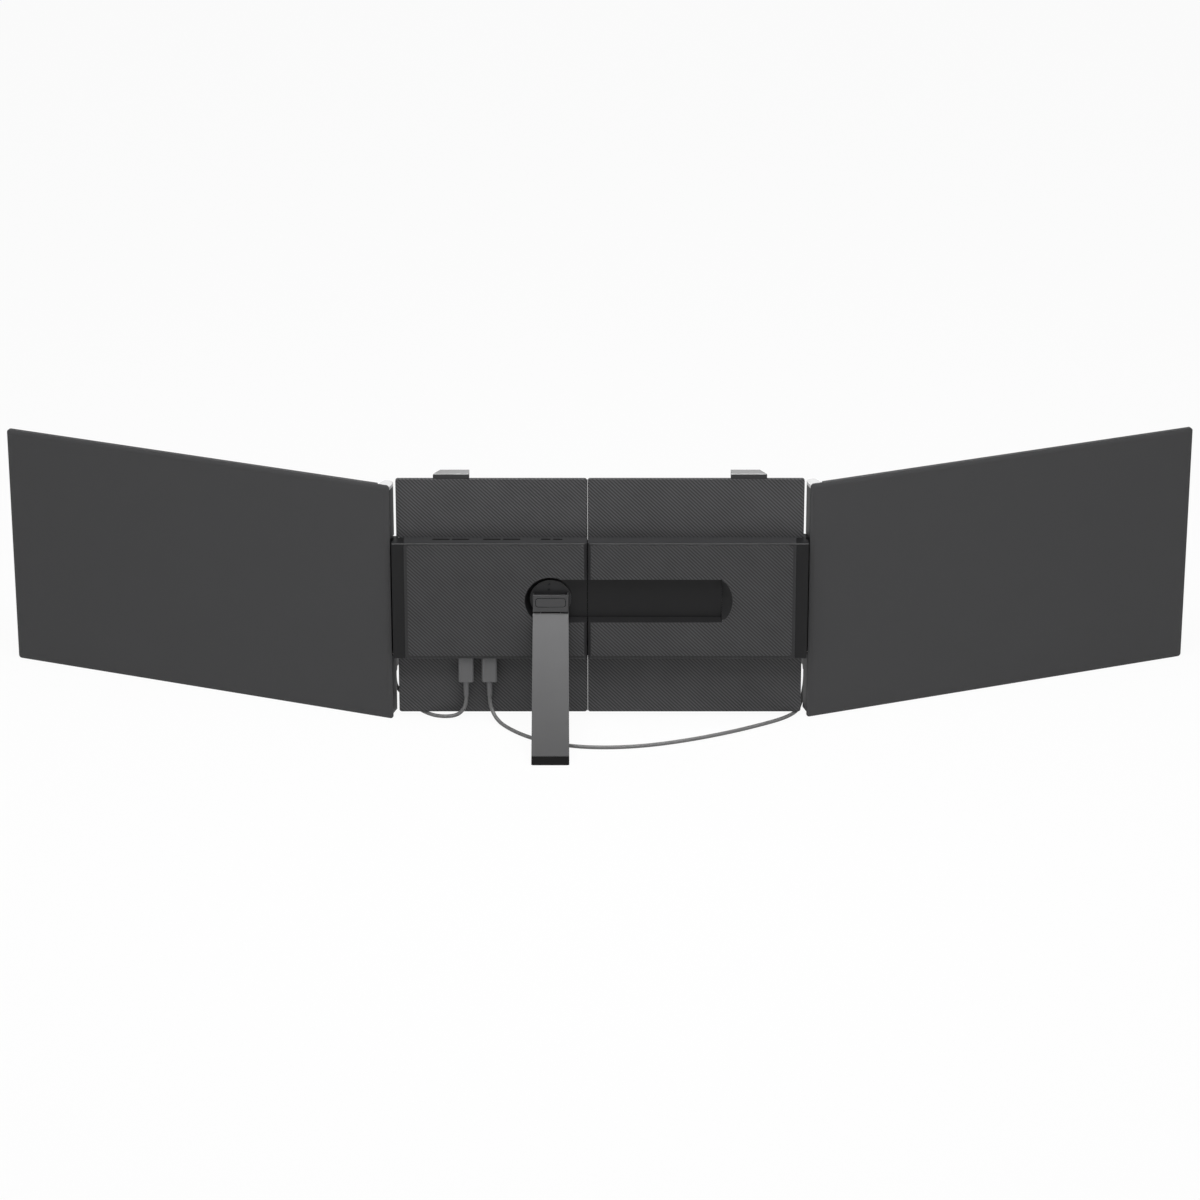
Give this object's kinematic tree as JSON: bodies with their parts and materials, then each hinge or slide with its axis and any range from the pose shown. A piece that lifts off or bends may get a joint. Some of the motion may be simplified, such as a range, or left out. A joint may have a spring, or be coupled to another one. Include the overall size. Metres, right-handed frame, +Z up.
{
  "type": "laptop screen extender",
  "caption": "portable screen extender: side screens hinged on a sliding frame that hooks over a laptop's lid, with a swivelling kickstand and USB-C cables",
  "frame": {"origin": "on the table, under the middle of the whole object in its open pose", "axes": "+X to the right seen from behind, +Y from the back towards the user, +Z up"},
  "size_m": [0.9382, 0.2005, 0.2075],
  "materials": {
    "cover_plastic": "fine matte",
    "twill_plastic": "fine twill texture",
    "hinge_plastic": "smooth satin",
    "leg_metal": "satin powder coat",
    "steel": "brushed",
    "light_cap": "satin",
    "hook_metal": "satin",
    "rubber": "soft matte",
    "cable_sheath": "satin sheath",
    "plug_plastic": "fine matte",
    "board": "solder mask",
    "panel": "anti-glare film",
    "screen_glass": "anti-glare glass",
    "guide_plastic": "slick moulded"
  },
  "bodies": {
    "left_frame": {"left_back_plate": "twill_plastic", "left_front_cover": "cover_plastic", "left_housing": "cover_plastic", "left_inlay": "twill_plastic", "left_hinge_block": "hinge_plastic", "left_hinge_washers": "guide_plastic", "left_housing_screws": "steel", "left_lid_pads": "rubber", "hub_board": "board", "hub_ports": "steel", "lower_slide_rail": "steel", "upper_slide_rail": "steel", "left_hub_plug": "plug_plastic", "right_hub_plug": "plug_plastic", "left_cable": "cable_sheath", "right_cable": "cable_sheath"},
    "right_frame": {"right_back_plate": "twill_plastic", "right_front_cover": "cover_plastic", "right_housing": "cover_plastic", "right_inlay": "twill_plastic", "right_hinge_block": "hinge_plastic", "right_hinge_washers": "guide_plastic", "right_housing_screws": "steel", "right_lid_pads": "rubber", "rail_shoes": "guide_plastic"},
    "left_screen": {"left_screen_cover": "cover_plastic", "left_lcd_panel": "panel", "left_screen_glass": "screen_glass", "left_lower_spine": "cover_plastic", "left_upper_spine": "cover_plastic", "left_spine_cap": "light_cap", "left_driver_board": "board", "left_hinge_pin": "steel", "left_screen_plug": "plug_plastic"},
    "right_screen": {"right_screen_cover": "cover_plastic", "right_lcd_panel": "panel", "right_screen_glass": "screen_glass", "right_lower_spine": "cover_plastic", "right_upper_spine": "cover_plastic", "right_spine_cap": "light_cap", "right_driver_board": "board", "right_hinge_pin": "steel", "right_screen_plug": "plug_plastic"},
    "left_button": {"left_menu_button": "hinge_plastic"},
    "right_button": {"right_menu_button": "hinge_plastic"},
    "left_lid_hook": {"left_hook": "hook_metal", "left_hook_pad": "rubber"},
    "right_lid_hook": {"right_hook": "hook_metal", "right_hook_pad": "rubber"},
    "turntable": {"kickstand_disc": "hinge_plastic", "kickstand_retainer": "steel", "kickstand_hinge_cover": "leg_metal", "kickstand_screws": "steel", "kickstand_pin": "steel"},
    "leg": {"kickstand_leg": "leg_metal", "kickstand_foot": "rubber"}
  },
  "joints": [
    {"name": "frame_slide", "type": "slide", "parent": "left_frame", "child": "right_frame", "axis": [1, 0, 0], "range_m": [0, 0.07]},
    {"name": "left_screen_hinge", "type": "hinge", "parent": "left_frame", "child": "left_screen", "pos_m": [-0.1655, -0.00943, 0.1045], "axis": [0, 0, -1], "range_deg": [-20, 160], "deforming": ["left_cable", "left_screen_plug"]},
    {"name": "right_screen_hinge", "type": "hinge", "parent": "right_frame", "child": "right_screen", "pos_m": [0.16506, -0.00516, 0.1045], "axis": [0, 0, 1], "range_deg": [-20, 160], "deforming": ["right_cable", "right_screen_plug"]},
    {"name": "left_hook_slide", "type": "slide", "parent": "left_frame", "child": "left_lid_hook", "axis": [0, 0, 1], "range_m": [0, 0.045]},
    {"name": "right_hook_slide", "type": "slide", "parent": "right_frame", "child": "right_lid_hook", "axis": [0, 0, 1], "range_m": [0, 0.045]},
    {"name": "turntable_swivel", "type": "hinge", "parent": "left_frame", "child": "turntable", "pos_m": [-0.0384, -0.0166, 0.105], "axis": [0, -1, 0], "range_deg": [0, 90]},
    {"name": "leg_tilt", "type": "hinge", "parent": "turntable", "child": "leg", "pos_m": [-0.0384, -0.0206, 0.0933], "axis": [-1, 0, 0], "range_deg": [-6, 15]},
    {"name": "left_button_press", "type": "slide", "parent": "left_screen", "child": "left_button", "axis": [-0.342, -0.9397, 0], "range_m": [0, 0.0005], "stiffness_N_per_m": 800, "springref_m": -0.0005},
    {"name": "right_button_press", "type": "slide", "parent": "right_screen", "child": "right_button", "axis": [0.342, -0.9397, 0], "range_m": [0, 0.0005], "stiffness_N_per_m": 800, "springref_m": -0.0005}
  ]
}
